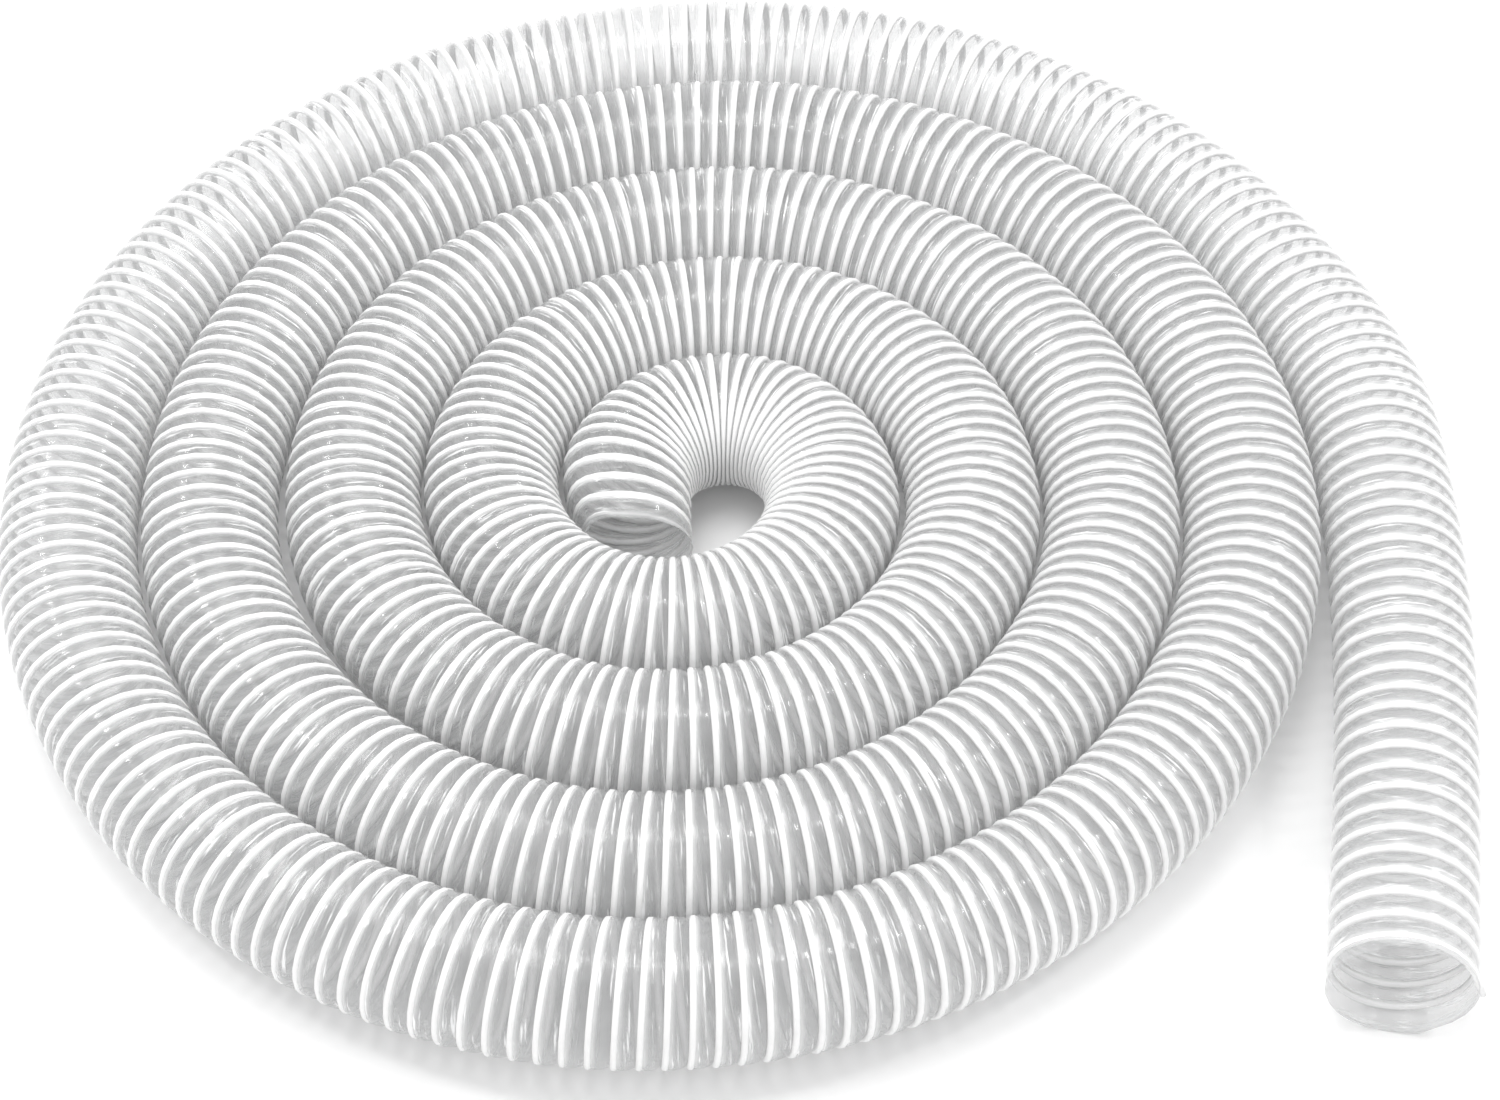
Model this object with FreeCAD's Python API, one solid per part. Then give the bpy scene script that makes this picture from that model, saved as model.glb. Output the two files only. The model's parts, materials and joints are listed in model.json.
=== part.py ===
"""Clear flexible hose with a rigid helix, lying in a flat coil on the floor.

Millimetres, +Z up. The origin is on the floor, under the middle of the whole hose.
The coil runs clockwise from the inner end, seen from above, and then leaves in a nearly
straight leg, so that the outer mouth opens towards -Y.

The hose is two long pieces: a clear film wall, and a stiff rod wound round it as a helix.
Both are cut into named stretches: the inner end, eight half turns, the bend and the
outer end.
"""

import FreeCAD
import Part
import math
import os

V = FreeCAD.Vector

# ---- the hose itself ----
BORE_D = 63.5  # clear inside diameter
WALL_THICKNESS = 3.45  # from the bore to the outside of the bulging film
ROD_D = 2.8  # thickness of the rigid rod
ROD_PROUD = 0.8  # how far the rod stands out of the film
ROD_PITCH = 11.3  # from one turn of the rod to the next, evened to whole turns
ROD_CORNERS = 8  # corners of the rod's path in one turn round the hose
INNER_LIP = 4.0  # bare film before the rod, at the inner mouth
OUTER_LIP = 2.0  # and after it, at the outer mouth

BORE_R = BORE_D / 2
WALL_R = BORE_R + WALL_THICKNESS
CREST_R = WALL_R + ROD_PROUD
ROD_R = ROD_D / 2
ROD_PATH_R = CREST_R - ROD_R
HOSE_D = 2 * CREST_R

# ---- the coil ----
TURN_GAP = 1.0  # air between one turn of the coil and the next
CLEARANCE = 0.3  # between pieces that must not touch
FIRST_RADIUS = 0.629 * HOSE_D  # from the coil's centre to the centreline, at START_ANGLE
START_ANGLE = 135.0
CENTRE = (-16.4, -18.0)
STEPS_PER_TURN = 12
FIRST_QUARTER = 1
LAST_QUARTER = 17
# how far each quarter turn lies outside (+) or inside (-) an even spiral
SLACK = (-2, 0, -4, 2, 0, 2, -3, 2.5, 0, 3, -3.2, 7, 0, 4, -3.4, 8, 0.3, 4.6, -3)

# ---- the inner end, in hose diameters from the coil's centre ----
INNER_END = ((-0.5, -0.36), (-0.552, -0.08), (-0.49, 0.331), (-0.215, 0.66), (0.214, 0.789))

# ---- the leg: how far inside the coil's last radius, and how far along Y from its centre ----
LEG_QUARTER = 17.5
OUTER_END = ((4.6, 98.8), (-1, -21.2), (5, -117.2), (17, -214.2), (31.8, -309.2))

# ---- the stretches, and how many corners of the route each of their solids takes ----
HALF_TURN = (2, 2, 2)
STRETCHES = (
    ("inner_end", (2, 3)),
    ("half_turn_1", HALF_TURN),
    ("half_turn_2", HALF_TURN),
    ("half_turn_3", HALF_TURN),
    ("half_turn_4", HALF_TURN),
    ("half_turn_5", HALF_TURN),
    ("half_turn_6", HALF_TURN),
    ("half_turn_7", HALF_TURN),
    ("half_turn_8", HALF_TURN),
    ("bend", (2,)),
    ("outer_end", (2,)),
)

# how much of the shorter run beside a corner its arc takes
ARC_SHARE = 0.45
# how far a solid's volume may be from its section times its length
VOLUME_TOLERANCE = 0.005


def smooth_step(share):
    """0 to 1, level at both ends."""
    return (1 - math.cos(math.pi * share)) / 2


def spiral_radius(quarter):
    """Distance of the centreline from the coil's centre, quarter turns after START_ANGLE."""
    below = min(int(quarter), len(SLACK) - 2)
    share = smooth_step(quarter - below)
    slack = SLACK[below] * (1 - share) + SLACK[below + 1] * share
    return FIRST_RADIUS + (HOSE_D + TURN_GAP) * quarter / 4 + slack


def route_points():
    """Corners of the hose's centreline, from the inner mouth to the outer one."""
    height = CREST_R
    centre = V(CENTRE[0], CENTRE[1], height)
    points = [centre + V(x, y, 0) * HOSE_D for x, y in INNER_END]
    # the corners stand outside the spiral, so that the runs between them touch it
    outside = 1 / math.cos(math.pi / STEPS_PER_TURN)
    steps = (LAST_QUARTER - FIRST_QUARTER) * STEPS_PER_TURN // 4
    for step in range(steps + 1):
        quarter = FIRST_QUARTER + 4 * step / STEPS_PER_TURN
        angle = math.radians(START_ANGLE - 90 * quarter)
        radius = outside * spiral_radius(quarter)
        points.append(centre + V(math.cos(angle), math.sin(angle), 0) * radius)
    leg = spiral_radius(LEG_QUARTER)
    points += [centre + V(leg - inside, y, 0) for inside, y in OUTER_END]
    return points


def corner_arc(before, corner, after):
    """Where the arc round a corner starts, its middle, where it ends, and its radius."""
    back = before - corner
    ahead = after - corner
    cut = ARC_SHARE * min(back.Length, ahead.Length)
    half_turn = (math.pi - back.getAngle(ahead)) / 2
    radius = cut / math.tan(half_turn)
    back.normalize()
    ahead.normalize()
    inwards = back + ahead
    inwards.normalize()
    middle = corner + inwards * (radius / math.cos(half_turn) - radius)
    return corner + back * cut, middle, corner + ahead * cut, radius


class Path:
    """Straight runs joined by tangent arcs, through a list of corners."""

    def __init__(self, points):
        self.points = points
        self.arcs = [corner_arc(*three) for three in zip(points, points[1:], points[2:])]

    def curves(self, first, last):
        """The curves from the middle of the run before corner first to that after last.

        Corners are counted from 1. The path's own ends stand in for a middle there.
        """
        start = self.middle_before(first)
        curves = []
        for corner in range(first, last + 1):
            enter, middle, leave, _ = self.arcs[corner - 1]
            curves.append(Part.LineSegment(start, enter))
            curves.append(Part.Arc(enter, middle, leave))
            start = leave
        curves.append(Part.LineSegment(start, self.middle_before(last + 1)))
        return curves

    def middle_before(self, corner):
        if corner <= 1:
            return self.points[0]
        if corner >= len(self.points) - 1:
            return self.points[-1]
        return (self.points[corner - 1] + self.points[corner]) * 0.5


def pipe(curves, radius):
    """A round bar of one radius along the curves."""
    wire = Part.Wire([curve.toShape() for curve in curves])
    first = curves[0]
    heading = first.EndPoint - first.StartPoint
    section = Part.Wire(Part.makeCircle(radius, first.StartPoint, heading))
    return wire.makePipeShell([section], True, False), wire.Length


def checked(shape, section, length, name):
    """Stops if the solid isn't its section times its length."""
    wanted = section * length
    if not shape.isValid() or abs(shape.Volume - wanted) > VOLUME_TOLERANCE * wanted:
        raise ValueError(f"{name}: volume {shape.Volume:.0f}, wanted {wanted:.0f}")
    return shape


def wall_piece(curves, name):
    """The clear wall along the curves, open at both ends."""
    outside, length = pipe(curves, WALL_R)
    inside, _ = pipe(curves, BORE_R)
    section = math.pi * (WALL_R**2 - BORE_R**2)
    return checked(outside.cut(inside).Solids[0], section, length, name)


class Centreline:
    """The hose's centreline, walked by distance from the inner mouth."""

    def __init__(self, path):
        self.edges = [c.toShape() for c in path.curves(1, len(path.arcs))]
        self.starts = [0.0]
        for edge in self.edges:
            self.starts.append(self.starts[-1] + edge.Length)
        self.length = self.starts[-1]

    def at(self, distance):
        """The point there, and the direction that the hose runs in."""
        index = 0
        while index < len(self.edges) - 1 and self.starts[index + 1] < distance:
            index += 1
        edge = self.edges[index]
        share = (distance - self.starts[index]) / edge.Length
        span = edge.LastParameter - edge.FirstParameter
        parameter = edge.FirstParameter + share * span
        return edge.valueAt(parameter), edge.tangentAt(parameter)


def rod_winding(centreline):
    """How many whole turns the rod makes round the hose, and how far apart they are."""
    length = centreline.length - INNER_LIP - OUTER_LIP
    turns = round(length / ROD_PITCH)
    return turns, length / turns


def rod_corners(walked, length, centreline):
    """The rod's corners that lie in a stretch of wall, clear of both of its ends."""
    turns, pitch = rod_winding(centreline)
    first = (walked + ROD_R + CLEARANCE - INNER_LIP) / pitch * ROD_CORNERS
    last = (walked + length - ROD_R - CLEARANCE - INNER_LIP) / pitch * ROD_CORNERS
    return max(math.ceil(first) + 1, 1), min(math.floor(last) - 1, turns * ROD_CORNERS - 1)


def rod_points(centreline):
    """Corners of the rod's path, a left-handed helix round the whole hose.

    It starts and ends on the left of the way that the hose runs.
    """
    # an arc's middle lies nearer to the axis than its corner, by this share
    half = math.pi / ROD_CORNERS
    arc_reach = (1 - 2 * ARC_SHARE) + 2 * ARC_SHARE * math.cos(half)
    corner_r = ROD_PATH_R / arc_reach
    turns, pitch = rod_winding(centreline)
    points = []
    for i in range(turns * ROD_CORNERS + 1):
        centre, heading = centreline.at(INNER_LIP + i * pitch / ROD_CORNERS)
        turn = 2 * math.pi * i / ROD_CORNERS
        left = V(0, 0, 1).cross(heading)
        outwards = left * math.cos(turn) - V(0, 0, math.sin(turn))
        points.append(centre + outwards * corner_r)
    return points


def rod_piece(path, first, last, name):
    """The rod from one corner of its path to another."""
    bar, length = pipe(path.curves(first, last), ROD_R)
    return checked(bar, math.pi * ROD_R**2, length, name)


def space_beside_mouth(hose):
    """What the first turn takes up, beside the inner mouth, which it presses on."""
    first = sum(STRETCHES[0][1]) + 1
    last = first + 2 * sum(HALF_TURN) - 1
    space, _ = pipe(hose.curves(first, last), CREST_R + CLEARANCE)
    return space


def write(name, shapes):
    solids = [solid for shape in shapes for solid in shape.Solids]
    shape = Part.makeCompound(solids) if len(solids) > 1 else solids[0]
    shape.exportStep(f"parts/{name}.step")
    return shape.BoundBox


def main():
    os.makedirs("parts", exist_ok=True)
    hose = Path(route_points())
    centreline = Centreline(hose)
    rod = Path(rod_points(centreline))
    turns, pitch = rod_winding(centreline)
    beside_mouth = space_beside_mouth(hose)
    box = FreeCAD.BoundBox()
    corner = 1
    walked = 0.0
    for stretch, groups in STRETCHES:
        walls = []
        rods = []
        first_stretch = stretch == STRETCHES[0][0]
        last_stretch = stretch == STRETCHES[-1][0]
        for group, size in enumerate(groups):
            name = f"{stretch} {group + 1}"
            last = len(hose.arcs) if last_stretch else corner + size - 1
            curves = hose.curves(corner, last)
            if last_stretch:
                # the straight mouth is a piece of its own, so that its bore is a plain hole
                walls.append(wall_piece(curves[:-1], name))
                walls.append(wall_piece(curves[-1:], name + " mouth"))
            else:
                walls.append(wall_piece(curves, name))
            length = sum(curve.toShape().Length for curve in curves)
            rod_first, rod_last = rod_corners(walked, length, centreline)
            rods.append(rod_piece(rod, rod_first, rod_last, name + " rod"))
            walked += length
            corner = last + 1
        if first_stretch:
            walls = [wall.cut(beside_mouth) for wall in walls]
            rods = [bar.cut(beside_mouth) for bar in rods]
        box.add(write(f"wall_{stretch}", walls))
        box.add(write(f"helix_{stretch}", rods))
    radii = [arc[3] for arc in hose.arcs]
    print(f"centreline {centreline.length:.0f} mm, {turns} rod turns {pitch:.3f} mm apart")
    print("radii " + " ".join(f"{radius:.0f}" for radius in radii))
    print(f"box centre {box.Center.x:.2f} {box.Center.y:.2f}, lowest {box.ZMin:.3f}")
    print(f"box size {box.XLength:.1f} {box.YLength:.1f} {box.ZLength:.1f}")


main()
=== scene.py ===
# %% [markdown]
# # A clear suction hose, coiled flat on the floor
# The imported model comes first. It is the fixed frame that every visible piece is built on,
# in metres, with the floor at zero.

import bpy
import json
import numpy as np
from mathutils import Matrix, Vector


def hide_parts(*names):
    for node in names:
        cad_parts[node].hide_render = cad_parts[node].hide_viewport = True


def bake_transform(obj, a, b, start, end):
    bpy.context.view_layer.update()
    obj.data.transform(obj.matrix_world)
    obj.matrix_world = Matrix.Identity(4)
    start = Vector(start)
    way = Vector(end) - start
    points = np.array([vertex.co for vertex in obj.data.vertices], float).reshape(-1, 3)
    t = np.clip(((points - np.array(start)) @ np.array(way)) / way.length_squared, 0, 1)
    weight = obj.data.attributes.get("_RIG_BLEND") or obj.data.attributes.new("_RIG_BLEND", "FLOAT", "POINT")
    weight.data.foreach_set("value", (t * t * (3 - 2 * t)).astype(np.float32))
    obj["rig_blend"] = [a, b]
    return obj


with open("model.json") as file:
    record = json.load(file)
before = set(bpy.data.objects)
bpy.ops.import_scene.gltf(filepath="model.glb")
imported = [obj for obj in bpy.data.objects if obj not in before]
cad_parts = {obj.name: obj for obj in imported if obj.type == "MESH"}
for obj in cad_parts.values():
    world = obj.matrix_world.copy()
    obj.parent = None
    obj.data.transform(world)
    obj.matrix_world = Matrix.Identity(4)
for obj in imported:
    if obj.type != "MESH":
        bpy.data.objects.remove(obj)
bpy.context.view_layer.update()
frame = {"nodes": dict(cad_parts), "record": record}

# %% [markdown]
# ## The sizes
# The hose is two long pieces: a clear film wall, and a white rod wound round it. Every size
# is written here once, in metres. The rod stands a little out of the film, and the film
# between two turns of the rod bulges where the hose is squeezed together and is taut where
# it is stretched.

# %% Sizes of the hose
import math

BORE_RADIUS = 0.03175
CREST_RADIUS = 0.036
FILM_RADIUS = 0.0331
ROD_HALF_WIDTH = 0.0018
INNER_LIP = 0.009
OUTER_LIP = 0.002
HOSE_DIAMETER = 2 * CREST_RADIUS
SEGMENTS = 26
MERGE_DISTANCE = 0.00005


def eased(share):
    """A share from 0 to 1 that starts and stops gently."""
    return share * share * (3 - 2 * share)


print("hose", HOSE_DIAMETER * 1000, "mm over the rod, bore", BORE_RADIUS * 2000, "mm")

# %% [markdown]
# ## The camera
# The camera looks down at about forty degrees from the side where the leg ends, with a
# long lens, so that the far turns stay nearly as large as the near ones.

# %% Camera
import bpy

camera_data = bpy.data.cameras.new("camera")
camera = bpy.data.objects.new("camera", camera_data)
bpy.context.collection.objects.link(camera)
camera.location = (0.011, -1.15707, 1.32149)
camera.rotation_euler = (0.70767, 0.0, 0.0)
camera_data.sensor_width = 36.0
camera_data.lens = 77.53
camera_data.clip_end = 50.0
bpy.context.scene.camera = camera
print("camera", tuple(camera.location))

# %% [markdown]
# ## The line that the hose follows
# A hose lies where its own stiffness lets it. Here that is a spiral, a little more than
# four turns, whose radius grows by one hose and a small gap each turn. Hand-coiled turns
# are never even, so each quarter turn has some slack of its own. One control point stands
# every thirty degrees, and five more lay out each end. A NURBS curve through their middle
# is smooth, as the hose is.

# %% Control points of the line
TURN_GAP = 0.001
FIRST_RADIUS = 0.629 * HOSE_DIAMETER
START_ANGLE = 135.0
CENTRE = (-0.0164, -0.018)
STEPS_PER_TURN = 12
FIRST_QUARTER = 1
LAST_QUARTER = 17
LEG_QUARTER = 17.5
SLACK = (-2, 0, -4, 2, 0, 2, -3, 2.5, 0, 3, -3.2, 7, 0, 4, -3.4, 8, 0.3, 4.6, -3)
INNER_END = ((-0.53, -0.47), (-0.572, -0.12), (-0.5, 0.331), (-0.216, 0.66), (0.214, 0.789))
OUTER_END = (
    (0.0046, 0.0988), (-0.001, -0.0212), (0.005, -0.1172), (0.017, -0.2142), (0.0318, -0.3092)
)


def spiral_radius(quarter):
    """Distance of the line from the coil's centre, in quarter turns after the start."""
    below = min(int(quarter), len(SLACK) - 2)
    share = (1 - math.cos(math.pi * (quarter - below))) / 2
    slack = SLACK[below] * (1 - share) + SLACK[below + 1] * share
    return FIRST_RADIUS + (HOSE_DIAMETER + TURN_GAP) * quarter / 4 + slack / 1000


def control_points():
    """The line's control points, from the inner mouth to the outer one."""
    cx, cy = CENTRE
    points = [(cx + x * HOSE_DIAMETER, cy + y * HOSE_DIAMETER) for x, y in INNER_END]
    outside = 1 / math.cos(math.pi / STEPS_PER_TURN)
    for step in range((LAST_QUARTER - FIRST_QUARTER) * STEPS_PER_TURN // 4 + 1):
        quarter = FIRST_QUARTER + 4 * step / STEPS_PER_TURN
        angle = math.radians(START_ANGLE - 90 * quarter)
        radius = outside * spiral_radius(quarter)
        points.append((cx + radius * math.cos(angle), cy + radius * math.sin(angle)))
    leg = spiral_radius(LEG_QUARTER)
    points += [(cx + leg - inside, cy + y) for inside, y in OUTER_END]
    return points


print(len(control_points()), "control points")

# %% [markdown]
# The curve has no thickness. A mesh made from it gives points along the line, close
# enough together to walk it by distance.

# %% The line as a curve, and its points
import numpy as np

line_data = bpy.data.curves.new("hose line", "CURVE")
line_data.dimensions = "3D"
line_data.resolution_u = 40
spline = line_data.splines.new("NURBS")
corners = control_points()
spline.points.add(len(corners) - 1)
for point, (x, y) in zip(spline.points, corners):
    point.co = (x, y, CREST_RADIUS, 1.0)
spline.order_u = 3
spline.use_endpoint_u = True
line = bpy.data.objects.new("hose line", line_data)
line_mesh = bpy.data.meshes.new_from_object(line)
flat = np.empty(len(line_mesh.vertices) * 3)
line_mesh.vertices.foreach_get("co", flat)
line_points = flat.reshape(-1, 3)
bpy.data.objects.remove(line)
steps = np.linalg.norm(np.diff(line_points, axis=0), axis=1)
line_distance = np.concatenate([[0.0], np.cumsum(steps)])
LINE_LENGTH = float(line_distance[-1])
print(len(line_points), "points,", round(LINE_LENGTH, 3), "m")

# %% [markdown]
# Walking the line needs three things at any distance: the place, the direction that points
# to the left of the way ahead, and how sharply the line bends there. The directions are
# averaged over about one turn of the rod, because the rod can't bend more suddenly.

# %% Walk the line
SAMPLE = 0.002
SMOOTH = 7
sample_distance = np.arange(0.0, LINE_LENGTH + SAMPLE, SAMPLE)
sample_place = np.column_stack(
    [np.interp(sample_distance, line_distance, line_points[:, axis]) for axis in range(3)]
)


def averaged(values, width=SMOOTH):
    """Each value becomes the mean of its neighbours, and the ends keep their own."""
    padded = np.pad(values, width, mode="edge")
    return np.convolve(padded, np.ones(2 * width + 1) / (2 * width + 1), mode="valid")


runs = np.diff(sample_place, axis=0)
turned = np.unwrap(np.arctan2(runs[:, 1], runs[:, 0]))
turned = averaged(np.append(turned, turned[-1]))
bend = averaged(np.gradient(turned, SAMPLE))


def along(distance):
    """Place, left-hand direction and bend of the line at each distance."""
    place = np.column_stack(
        [np.interp(distance, sample_distance, sample_place[:, axis]) for axis in range(3)]
    )
    angle = np.interp(distance, sample_distance, turned)
    left = np.column_stack([-np.sin(angle), np.cos(angle), np.zeros_like(angle)])
    return place, left, np.interp(distance, sample_distance, bend)


print("tightest bend", round(1000 / float(np.abs(bend).max())), "mm radius")

# %% [markdown]
# ## From a straight hose to a coiled one
# The hose is made straight first, along X, as the real one comes off its winding machine,
# and is laid along the line afterwards. In the straight hose a point is a distance along
# it, and an offset to the left and upwards. Film folds up easily but hardly stretches, so
# on a bend the outside keeps its full length and the inside is squeezed together. The
# straight hose is therefore longer than the line, and has more turns of the rod. On the
# tightest bends even the outside folds up a little, which FOLD_UP above 1 stands for. Where
# turns of the rod touch, each takes up MOST_CROWDED of a pitch to either side.

# %% How the straight hose fits the line
ROD_PITCH = 0.0125
FOLD_UP = 1.25
LEAST_STRETCH = 0.1
MOST_CROWDED = 0.47

squeeze_rate = 1 / (1 + FOLD_UP * CREST_RADIUS * np.abs(bend))
steps_made = SAMPLE / squeeze_rate
made_distance = np.concatenate([[0.0], np.cumsum((steps_made[1:] + steps_made[:-1]) / 2)])
LENGTH = float(np.interp(LINE_LENGTH, sample_distance, made_distance))
TURNS = round((LENGTH - INNER_LIP - OUTER_LIP) / ROD_PITCH)
PITCH = (LENGTH - INNER_LIP - OUTER_LIP) / TURNS
print("straight", round(LENGTH, 3), "m,", TURNS, "turns,", round(PITCH * 1000, 3), "mm apart")


def on_line(straight):
    """How far along the line each point of the straight hose comes to lie."""
    return np.interp(straight[:, 0], made_distance, sample_distance)


def rod_phase(straight):
    """How far a point lies from the rod, in pitches: 0 on it, a half midway between turns."""
    turn = np.arctan2(-straight[:, 2], straight[:, 1]) / (2 * math.pi)
    phase = (straight[:, 0] - INNER_LIP) / PITCH - turn
    return phase - np.round(phase)


def stretch_at(straight):
    """A point's spacing along the laid hose, as a share of that along the straight one."""
    distance = on_line(straight)
    _, _, turning = along(distance)
    rate = np.interp(distance, sample_distance, squeeze_rate)
    return np.clip((1 - turning * straight[:, 1]) * rate, LEAST_STRETCH, None)


def near_mouth(straight, reach=0.012):
    """0 at either mouth, and 1 further than the reach away from both."""
    gap = np.minimum(straight[:, 0], LENGTH - straight[:, 0])
    return eased(np.clip(gap / reach, 0.0, 1.0))


def laid(straight):
    """Points of the straight hose, laid along the line."""
    place, left, _ = along(on_line(straight))
    ahead = np.column_stack([left[:, 1], -left[:, 0], left[:, 2]])
    beyond = straight[:, 0] - np.clip(straight[:, 0], 0.0, LENGTH)
    placed = place + left * straight[:, 1:2] + ahead * beyond[:, None]
    placed[:, 2] += straight[:, 2]
    return placed


# %% [markdown]
# The first turn has no room beside the inner mouth, so it presses that mouth out of round,
# and the mouth sags. Points of the mouth that would lie inside that turn are moved out of
# it, and those behind them move less, so that the wall stays in order. A few centimetres
# up the hose it is round again.

# %% Press the inner mouth
PRESSED_LENGTH = 0.07
PRESSED_REACH = 0.056
PRESSED_FROM = 0.018
PRESSED_TO = 0.0366
SAG = 0.24
TURN_START = 0.25
TURN_END = 0.75
FIRST_TURN = line_points[(line_distance > TURN_START) & (line_distance < TURN_END)]


def pressed(placed, straight):
    """Laid points, moved out of the first turn where they are close to the inner mouth."""
    chosen = np.flatnonzero(straight[:, 0] < PRESSED_LENGTH)
    held = 1 - eased(np.clip(straight[chosen, 0] / PRESSED_LENGTH, 0.0, 1.0))
    placed[chosen, 2] *= 1 - SAG * held
    towards = placed[chosen][:, None, :] - FIRST_TURN[None]
    gaps = np.linalg.norm(towards, axis=2)
    nearest = gaps.argmin(axis=1)
    gap = gaps.min(axis=1)
    away = towards[np.arange(len(chosen)), nearest] / gap[:, None]
    squeeze = (PRESSED_REACH - PRESSED_TO) / (PRESSED_REACH - PRESSED_FROM)
    wanted = PRESSED_REACH - (PRESSED_REACH - gap) * squeeze
    away[:, 2] = 0.0
    placed[chosen] += away * (np.clip(wanted - gap, 0.0, None) * held)[:, None]
    return placed


# %% [markdown]
# Two helpers read and write all the points of a mesh at once, and one keeps a point's
# straight place as an attribute, so that a finish can follow the hose round its bends.

# %% Read and write points
def points_of(mesh):
    """A mesh's points, one row each."""
    values = np.empty(len(mesh.vertices) * 3)
    mesh.vertices.foreach_get("co", values)
    return values.reshape(-1, 3)


def put_points(mesh, points):
    """Moves a mesh's points."""
    mesh.vertices.foreach_set("co", points.astype(np.float32).ravel())
    mesh.update()


def keep_attribute(mesh, name, kind, values):
    """Stores one value or vector for each point."""
    attribute = mesh.attributes.new(name, kind, "POINT")
    field = "vector" if kind == "FLOAT_VECTOR" else "value"
    attribute.data.foreach_set(field, values.astype(np.float32).ravel())


# %% [markdown]
# ## One turn of a winding, and all of them
# Both pieces are wound. A short outline across the winding is spun once round the hose's
# axis while it moves on by one pitch, and an Array modifier repeats that turn along the
# whole hose and merges the seams. Spin makes the faces, so no list of them is written.
# The winding is left-handed: seen from behind, it goes down from the left-hand side.

# %% Wind an outline
import bmesh
from mathutils import Matrix, Vector


def one_turn(outline, closed):
    """A mesh of one turn of an outline, given as (along, out from the axis) pairs."""
    bm = bmesh.new()
    points = [bm.verts.new((x, radius, 0.0)) for x, radius in outline]
    edges = [bm.edges.new(pair) for pair in zip(points, points[1:])]
    if closed:
        edges.append(bm.edges.new((points[-1], points[0])))
    bmesh.ops.spin(
        bm,
        geom=points + edges,
        cent=(0.0, 0.0, 0.0),
        axis=(1.0, 0.0, 0.0),
        dvec=(PITCH / SEGMENTS, 0.0, 0.0),
        angle=-2 * math.pi,
        steps=SEGMENTS,
        use_merge=False,
    )
    mesh = bpy.data.meshes.new("one turn")
    bm.to_mesh(mesh)
    bm.free()
    return mesh


def wound(outline, closed, turns, start):
    """A mesh of many turns of an outline, whose first turn starts at a distance."""
    turn = bpy.data.objects.new("turn", one_turn(outline, closed))
    bpy.context.collection.objects.link(turn)
    repeat = turn.modifiers.new("turns", "ARRAY")
    repeat.count = turns
    repeat.use_relative_offset = False
    repeat.use_constant_offset = True
    repeat.constant_offset_displace = (PITCH, 0.0, 0.0)
    repeat.use_merge_vertices = True
    repeat.merge_threshold = MERGE_DISTANCE
    graph = bpy.context.evaluated_depsgraph_get()
    mesh = bpy.data.meshes.new_from_object(turn.evaluated_get(graph))
    bpy.data.objects.remove(turn)
    points = points_of(mesh)
    points[:, 0] += start
    put_points(mesh, points)
    return mesh


# %% [markdown]
# ## The film
# On the real hose the wall is a strip of clear, flexible film, wound and welded to the
# rod. Between two turns of the rod it dips just after the one and rises towards the next.
# The strip's outline has five steps for each pitch. Its turns run a little past both
# mouths, and a plane cuts each end off square, as a knife would.

# %% Wind and cut the film
CUT_ACCURACY = 0.00001
FILM_STEPS = (-0.5, -0.32, -0.15, 0.15, 0.32, 0.5)
film_mesh = wound(
    [(share * PITCH, FILM_RADIUS) for share in FILM_STEPS],
    closed=False,
    turns=TURNS + 4,
    start=INNER_LIP - 2 * PITCH,
)
film_bm = bmesh.new()
film_bm.from_mesh(film_mesh)
bmesh.ops.remove_doubles(film_bm, verts=film_bm.verts[:], dist=MERGE_DISTANCE)
for end, outwards in ((0.0, -1.0), (LENGTH, 1.0)):
    bmesh.ops.bisect_plane(
        film_bm,
        geom=film_bm.verts[:] + film_bm.edges[:] + film_bm.faces[:],
        dist=CUT_ACCURACY,
        plane_co=(end, 0.0, 0.0),
        plane_no=(outwards, 0.0, 0.0),
        clear_outer=True,
    )
print("film outside", len(film_bm.faces), "faces")

# %% [markdown]
# The bore is plain: a ring that is drawn out along the axis, one step for each turn of the
# rod. Bridging its two ends to the film's gives the wall its thin lips and closes it.

# %% Add the bore and the lips
END_REACH = 0.001

lip_edges = [edge for edge in film_bm.edges if edge.is_boundary]
ring = bmesh.ops.create_circle(film_bm, segments=SEGMENTS, radius=BORE_RADIUS, cap_ends=False)
turn_about = Matrix.Rotation(math.pi / 2, 3, "Y")
bmesh.ops.rotate(film_bm, verts=ring["verts"], cent=(0.0, 0.0, 0.0), matrix=turn_about)
ring_edges = list({edge for vert in ring["verts"] for edge in vert.link_edges})
drawn = bmesh.ops.spin(
    film_bm,
    geom=ring["verts"] + ring_edges,
    cent=(0.0, 0.0, 0.0),
    axis=(1.0, 0.0, 0.0),
    dvec=(LENGTH / TURNS, 0.0, 0.0),
    angle=0.0,
    steps=TURNS,
    use_merge=False,
)
far_edges = [item for item in drawn["geom_last"] if isinstance(item, bmesh.types.BMEdge)]


def at_end(edges, distance):
    """The edges that lie at one end of the hose."""
    return [edge for edge in edges if abs(edge.verts[0].co.x - distance) < END_REACH]


for end, rim in ((0.0, ring_edges), (LENGTH, far_edges)):
    bmesh.ops.bridge_loops(film_bm, edges=at_end(lip_edges, end) + rim)
bmesh.ops.recalc_face_normals(film_bm, faces=film_bm.faces[:])
open_edges = sum(1 for edge in film_bm.edges if not edge.is_manifold)
print("film", len(film_bm.faces), "faces,", open_edges, "open edges")
film_bm.to_mesh(film_mesh)
film_bm.free()

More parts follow.
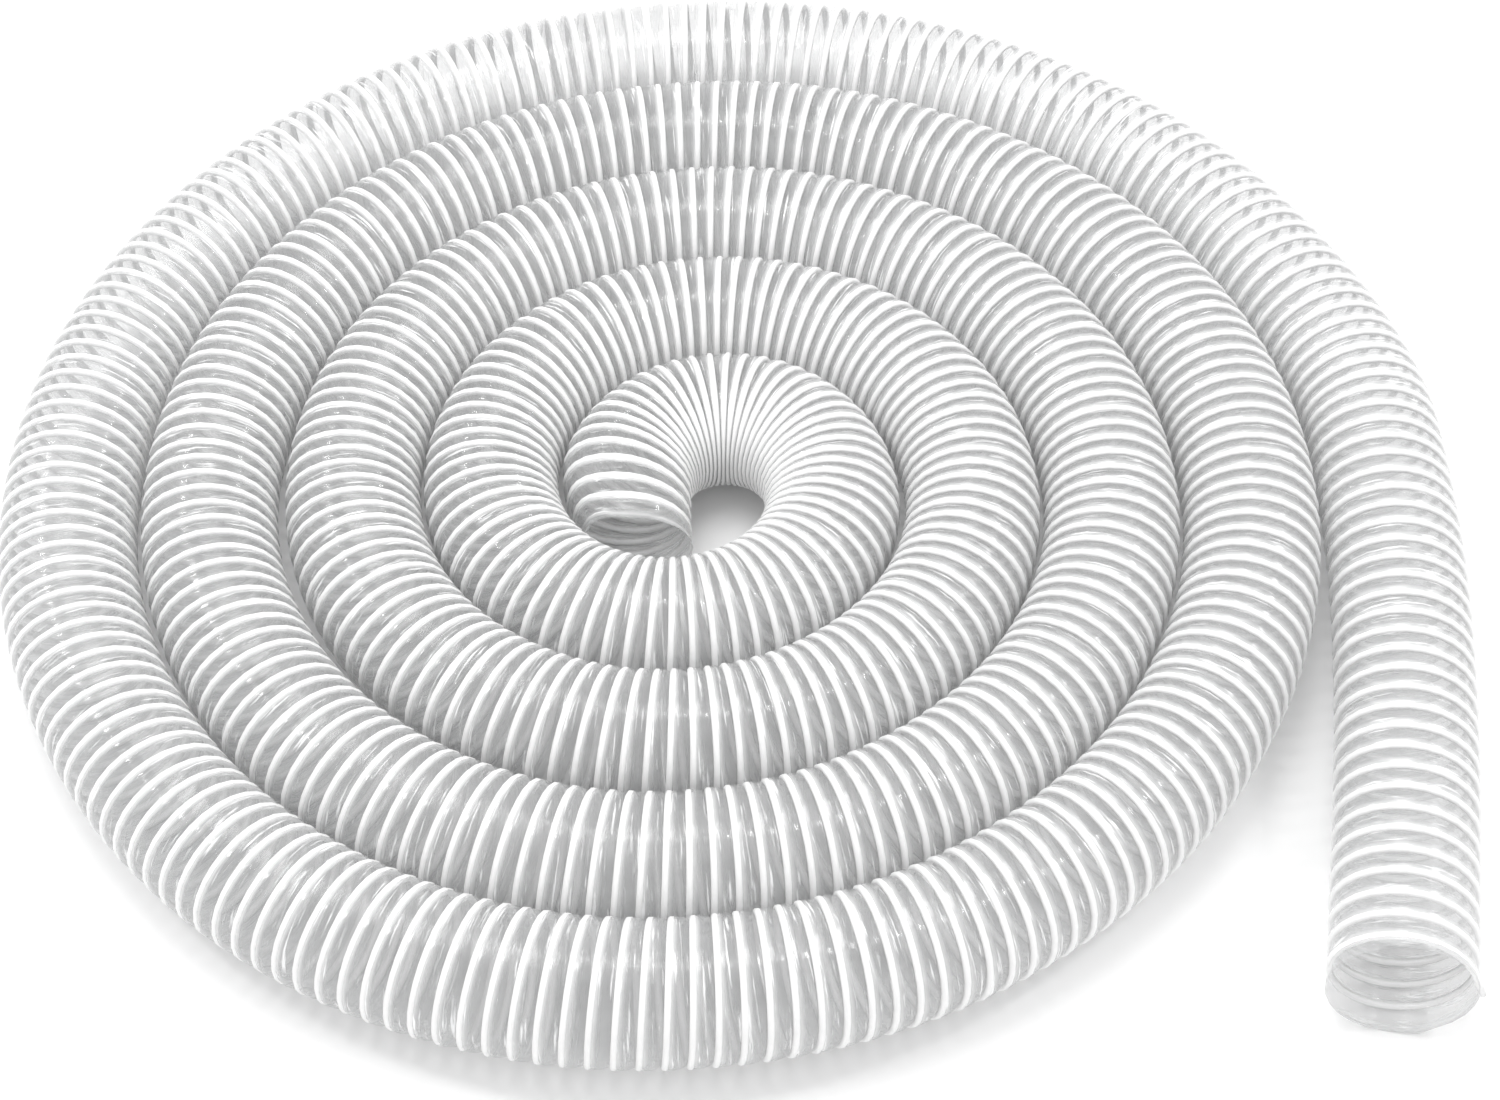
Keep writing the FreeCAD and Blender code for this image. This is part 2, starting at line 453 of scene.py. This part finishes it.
# %% [markdown]
# Now the film gets its swell. How far it rises between the ribs depends on how much the
# hose is stretched there: nothing where it is taut, on the outside of a bend, and up to
# three millimetres where it is bunched up, on the inside. Past the last turn of the rod
# nothing holds the film in, so both mouths open out to the rod's crest, with a thin lip.
# The steps of the strip are also moved, so that the first and last always touch the rod's
# flanks. The outer mouth was cut a little askew, and the knife left a small tail of film
# at the bottom.

# %% Swell the film between the ribs
SWELL_SHAPE = (0.9, 1.0, 0.95, 0.4, 0.7, 0.9)
# The milky shape paints the film whiter just before each turn of the rod: partly its own milky weld, partly
# a painted highlight on the rise.
MILKY_AND_HIGHLIGHT_SHAPE = (0.05, 0.2, 0.9, 0.0, 0.0, 0.05)
SWELL_MOST = 0.0028
SWELL_GAIN = 0.022
SLACK_STRETCH = 1.1
FLARE_RADIUS = 0.0358
LIP_THICKNESS = 0.0009
ASKEW_SLOPE = 0.055
ASKEW_REACH = 0.012
TAIL_LENGTH = 0.003
TAIL_ANGLE = 1.3
TAIL_WIDTH = 0.2

straight_film = points_of(film_mesh)
out = np.hypot(straight_film[:, 1], straight_film[:, 2])
outside = out > (FILM_RADIUS + BORE_RADIUS) / 2
phase = rod_phase(straight_film)
stretch = stretch_at(straight_film)
fade = near_mouth(straight_film)
swell = np.clip(SWELL_GAIN * (SLACK_STRETCH - stretch), 0.0, SWELL_MOST)
rise = swell * np.interp(phase, FILM_STEPS, SWELL_SHAPE)
# A whiter band before each rod turn: the milky weld together with a painted highlight.
milky_and_highlight = np.interp(phase, FILM_STEPS, MILKY_AND_HIGHLIGHT_SHAPE)
held = np.where(outside, FILM_RADIUS + rise, BORE_RADIUS)
freed = np.where(outside, FLARE_RADIUS, FLARE_RADIUS - LIP_THICKNESS)
scale = (held * fade + freed * (1 - fade)) / out
edge_phase = np.minimum(ROD_HALF_WIDTH / (PITCH * stretch), MOST_CROWDED)
moved = np.interp(np.abs(phase), (0.0,) + FILM_STEPS[3:], (0.0, 1.0, 2.0, 3.0))
moved = np.where(
    moved <= 1.0, moved * edge_phase, edge_phase + (moved - 1.0) / 2 * (0.5 - edge_phase)
)
shift = (np.sign(phase) * moved - phase) * PITCH * fade
swollen = straight_film.copy()
swollen[:, 0] += np.where(outside, shift, 0.0)
swollen[:, 1] *= scale
swollen[:, 2] *= scale
around = np.arctan2(-straight_film[:, 2], straight_film[:, 1])
tail = TAIL_LENGTH * np.clip(1 - np.abs(around - TAIL_ANGLE) / TAIL_WIDTH, 0.0, 1.0)
to_mouth = np.clip(1 - (LENGTH - straight_film[:, 0]) / ASKEW_REACH, 0.0, 1.0) ** 2
swollen[:, 0] += to_mouth * (ASKEW_SLOPE * (CREST_RADIUS - straight_film[:, 1]) + tail)
keep_attribute(film_mesh, "straight", "FLOAT_VECTOR", straight_film)
keep_attribute(film_mesh, "milky_and_highlight", "FLOAT", milky_and_highlight)
keep_attribute(film_mesh, "outside", "FLOAT", outside)
put_points(film_mesh, pressed(laid(swollen), straight_film))
film = bpy.data.objects.new("film_wall", film_mesh)
bpy.context.collection.objects.link(film)
print("film swells by up to", round(float(rise.max()) * 1000, 2), "mm")

# %% [markdown]
# ## The rod
# The rod is hard and white, with a flat foot in the film and a rounded crest. It is wound
# in the same way. Its outline keeps its width on every bend, except right at the coil's
# heart, where the turns crowd together and touch.

# %% Wind the rod
ROD_OUTLINE = (
    (-0.0018, 0.0333), (-0.0017, 0.0351), (-0.0008, 0.036),
    (0.0008, 0.036), (0.0017, 0.0351), (0.0018, 0.0333),
)
rod_mesh = wound(ROD_OUTLINE, closed=True, turns=TURNS, start=INNER_LIP)
rod_bm = bmesh.new()
rod_bm.from_mesh(rod_mesh)
bmesh.ops.remove_doubles(rod_bm, verts=rod_bm.verts[:], dist=MERGE_DISTANCE)
bmesh.ops.holes_fill(rod_bm, edges=[edge for edge in rod_bm.edges if edge.is_boundary])
bmesh.ops.recalc_face_normals(rod_bm, faces=rod_bm.faces[:])
open_edges = sum(1 for edge in rod_bm.edges if not edge.is_manifold)
print("rod", len(rod_bm.faces), "faces,", open_edges, "open edges")
rod_bm.to_mesh(rod_mesh)
rod_bm.free()

# %% [markdown]
# A cutter leaves the rod's last few degrees springing out of the film at the outer mouth.

# %% Lay the rod along the line
STUB_TURN = 0.06
STUB_LIFT = 0.003

straight_rod = points_of(rod_mesh)
phase = rod_phase(straight_rod)
stretch = stretch_at(straight_rod)
widen = np.minimum(1 / stretch, MOST_CROWDED * PITCH / ROD_HALF_WIDTH)
core = straight_rod[:, 0] - phase * PITCH
to_end = (LENGTH - OUTER_LIP - core) / PITCH
lift = STUB_LIFT * np.clip(1 - to_end / STUB_TURN, 0.0, 1.0) ** 2
out = np.hypot(straight_rod[:, 1], straight_rod[:, 2])
placed_rod = straight_rod.copy()
placed_rod[:, 0] = core + phase * PITCH * widen
placed_rod[:, 1:] *= ((out + lift) / out)[:, None]
keep_attribute(rod_mesh, "straight", "FLOAT_VECTOR", straight_rod)
put_points(rod_mesh, pressed(laid(placed_rod), straight_rod))
rod = bpy.data.objects.new("helix_rod", rod_mesh)
bpy.context.collection.objects.link(rod)

for piece in (film, rod):
    piece.data.polygons.foreach_set("use_smooth", [True] * len(piece.data.polygons))
    triangles = sum(len(face.vertices) - 2 for face in piece.data.polygons)
    print(piece.name, triangles, "triangles")

# %% [markdown]
# ## Finishes
# Shader maths is easier to read as sums than as boxes and wires. A small class wraps a
# socket, so that Python's own operators add the Math nodes, and one method makes any node.

# %% A socket that can be added and multiplied
MIX_SHARE, MIX_FIRST, MIX_SECOND, MIX_RESULT = 0, 6, 7, 2
ATTRIBUTE_VECTOR, ATTRIBUTE_VALUE = 1, 2
FACING = 1


class Wire:
    """A shader socket that Python's operators work on."""

    def __init__(self, finish, socket):
        self.finish = finish
        self.socket = socket

    def maths(self, operation, first, second):
        """A Math node on two sockets or numbers."""
        return self.finish.node("Math", {"operation": operation}, {0: first, 1: second})

    def __add__(self, other):
        return self.maths("ADD", self, other)

    def __radd__(self, other):
        return self.maths("ADD", other, self)

    def __sub__(self, other):
        return self.maths("SUBTRACT", self, other)

    def __mul__(self, other):
        return self.maths("MULTIPLY", self, other)


class Finish:
    """A material, and the one method that adds nodes to it."""

    def __init__(self, name):
        self.material = bpy.data.materials.new(name)
        self.material.use_nodes = True
        self.tree = self.material.node_tree
        self.tree.nodes.clear()

    def node(self, kind, settings, sockets, output=0):
        """Adds a node, wires or sets its inputs, and gives one of its outputs."""
        made = self.tree.nodes.new("ShaderNode" + kind)
        for name, value in settings.items():
            setattr(made, name, value)
        for name, value in sockets.items():
            if isinstance(value, Wire):
                self.tree.links.new(value.socket, made.inputs[name])
            else:
                made.inputs[name].default_value = value
        return Wire(self, made.outputs[output])

    def show(self, surface):
        """Sends a shader to the material's output."""
        out_node = self.tree.nodes.new("ShaderNodeOutputMaterial")
        self.tree.links.new(surface.socket, out_node.inputs["Surface"])


# %% [markdown]
# The film is clear, but a stack of curved, slightly hazy walls looks pale grey. Its gloss
# is broken by short streaks that run with the rod: the film was drawn and wound that way,
# so its waviness is fine along the hose and long around it. The streaks come from noise
# in the straight hose's own place, stretched round the hose. Just before each turn of the
# rod the film rises over the weld and is painted whiter, partly as its own milky weld and
# partly as a painted highlight on that rise. The brightest streaks are painted pale, in
# colour and alpha, as painted glints that stand in for highlights.

# %% Clear film
clear = Finish("clear film")
place = clear.node("Attribute", {"attribute_name": "straight"}, {}, ATTRIBUTE_VECTOR)
streaked = clear.node("VectorMath", {"operation": "MULTIPLY"}, {0: place, 1: (520.0, 40.0, 40.0)})
streaks = clear.node("TexNoise", {}, {"Vector": streaked, "Scale": 1.0, "Detail": 3.0})
broad = clear.node("VectorMath", {"operation": "MULTIPLY"}, {0: place, 1: (60.0, 30.0, 30.0)})
haze = clear.node("TexNoise", {}, {"Vector": broad, "Scale": 1.0, "Detail": 2.0})
milky_and_highlight_share = clear.node("Attribute", {"attribute_name": "milky_and_highlight"}, {}, ATTRIBUTE_VALUE)
outer_share = clear.node("Attribute", {"attribute_name": "outside"}, {}, ATTRIBUTE_VALUE)
# Painted glints: the brightest streaks are painted pale, a painted highlight in colour and alpha.
painted_glints = clear.node(
    "Math", {"operation": "MULTIPLY", "use_clamp": True}, {0: streaks - 0.6, 1: 9.0}
)
edge = clear.node("LayerWeight", {}, {"Blend": 0.35}, FACING)
relief = clear.node(
    "Bump", {}, {"Height": streaks * 0.7 + haze * 0.6, "Strength": 0.75, "Distance": 0.0014}
)
# The tint is painted paler at the painted glints, and just before each rod turn, where the milky weld
# carries a painted highlight.
tint = clear.node(
    "Mix",
    {"data_type": "RGBA"},
    {
        MIX_SHARE: haze * 0.25 + milky_and_highlight_share * 0.6 + painted_glints - edge * 0.25,
        MIX_FIRST: (0.60, 0.605, 0.61, 1.0),
        MIX_SECOND: (0.96, 0.965, 0.97, 1.0),
    },
    MIX_RESULT,
)
# The alpha also carries the painted glints and the painted highlight of the milky band before each rod turn.
body_alpha = 0.22 + haze * 0.12 + painted_glints * 0.45 + milky_and_highlight_share * 0.3 + edge * 0.22
film_surface = clear.node(
    "BsdfPrincipled",
    {},
    {
        "Base Color": tint,
        "Roughness": 0.07 + haze * 0.12,
        "Alpha": body_alpha * (outer_share * 0.75 + 0.25),
        "IOR": 1.8,
        "Coat Weight": 0.8,
        "Coat Roughness": 0.04,
        "Normal": relief,
    },
)
clear.show(film_surface)
film.data.materials.append(clear.material)

# %% [markdown]
# The rod is opaque white plastic, satin, with the faintest unevenness along its length.

# %% White rod
white = Finish("white rod")
place = white.node("Attribute", {"attribute_name": "straight"}, {}, ATTRIBUTE_VECTOR)
grain = white.node("TexNoise", {}, {"Vector": place, "Scale": 220.0, "Detail": 3.0})
paint = white.node(
    "Mix",
    {"data_type": "RGBA"},
    {MIX_SHARE: grain, MIX_FIRST: (0.83, 0.83, 0.83, 1.0), MIX_SECOND: (0.92, 0.92, 0.92, 1.0)},
    MIX_RESULT,
)
grain_relief = white.node("Bump", {}, {"Height": grain, "Strength": 0.25, "Distance": 0.0003})
rod_surface = white.node(
    "BsdfPrincipled",
    {},
    {"Base Color": paint, "Roughness": 0.28 + grain * 0.15, "Normal": grain_relief},
)
white.show(rod_surface)
rod.data.materials.append(white.material)
print("finishes", [material.name for material in (clear.material, white.material)])

# %% [markdown]
# ## How the hose moves
# The leg swings where it leaves the coil. Both pieces pass through that bend, so they
# blend from the coil's body to the leg's. How far along the hose a point is decides how
# much it turns, because the coil's front lies as far forward as the bend does.

# %% Bend the hose with its joint
BEND_START = 5.556
BEND_END = 5.806
hinge = frame["record"]["behaviour"]["joints"][0]["pos_m"]
wall_nodes = [name for name in frame["nodes"] if name.startswith("wall_")]
rod_nodes = [name for name in frame["nodes"] if name.startswith("helix_")]
for piece, straight, nodes, slot in (
    (film, straight_film, wall_nodes, "clear_film"),
    (rod, straight_rod, rod_nodes, "white_rod"),
):
    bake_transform(piece, "coil", "outer_end", start=hinge, end=(hinge[0], hinge[1] - 0.1, hinge[2]))
    share = np.clip((on_line(straight) - BEND_START) / (BEND_END - BEND_START), 0.0, 1.0)
    weights = piece.data.attributes["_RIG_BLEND"]
    weights.data.foreach_set("value", eased(share).astype(np.float32))
    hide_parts(*nodes)
print("bends from", BEND_START, "to", BEND_END, "m along the hose")

# %% [markdown]
# The hose starts at the inner mouth, and both of its ends are bare.

# %% [markdown]
# ## The floor and the light
# A plain pale floor, a large soft light overhead and a small one on each side give the
# film its broad sheen and its soft shadows.

# %% Floor
floor_bm = bmesh.new()
bmesh.ops.create_grid(floor_bm, x_segments=1, y_segments=1, size=12.0)
floor_mesh = bpy.data.meshes.new("floor")
floor_bm.to_mesh(floor_mesh)
floor_bm.free()
floor = bpy.data.objects.new("floor", floor_mesh)
bpy.context.collection.objects.link(floor)
pale = Finish("pale floor")
pale_surface = pale.node(
    "BsdfPrincipled", {}, {"Base Color": (0.93, 0.93, 0.93, 1.0), "Roughness": 0.6}
)
pale.show(pale_surface)
floor.data.materials.append(pale.material)

# %% Lights
scene = bpy.context.scene
scene.view_settings.view_transform = "Standard"
world = bpy.data.worlds.new("studio")
scene.world = world
world.use_nodes = True
world.node_tree.nodes["Background"].inputs["Color"].default_value = (1.0, 1.0, 1.0, 1.0)
world.node_tree.nodes["Background"].inputs["Strength"].default_value = 0.96


def soft_light(name, place, target, size, power):
    """A square area light that faces a point."""
    data = bpy.data.lights.new(name, "AREA")
    data.size = size
    data.energy = power
    light = bpy.data.objects.new(name, data)
    bpy.context.collection.objects.link(light)
    light.location = place
    away = light.location - Vector(target)
    light.rotation_euler = away.to_track_quat("Z", "Y").to_euler()


soft_light("overhead", (-0.2, 0.3, 2.3), (0.0, 0.0, 0.0), 1.2, 20.0)
soft_light("left", (-1.5, 0.2, 1.8), (0.0, 0.0, 0.0), 0.3, 8.0)
soft_light("right", (1.6, 0.2, 1.8), (0.1, 0.0, 0.0), 0.3, 8.0)
print("three soft lights")

# %% The json module
import json
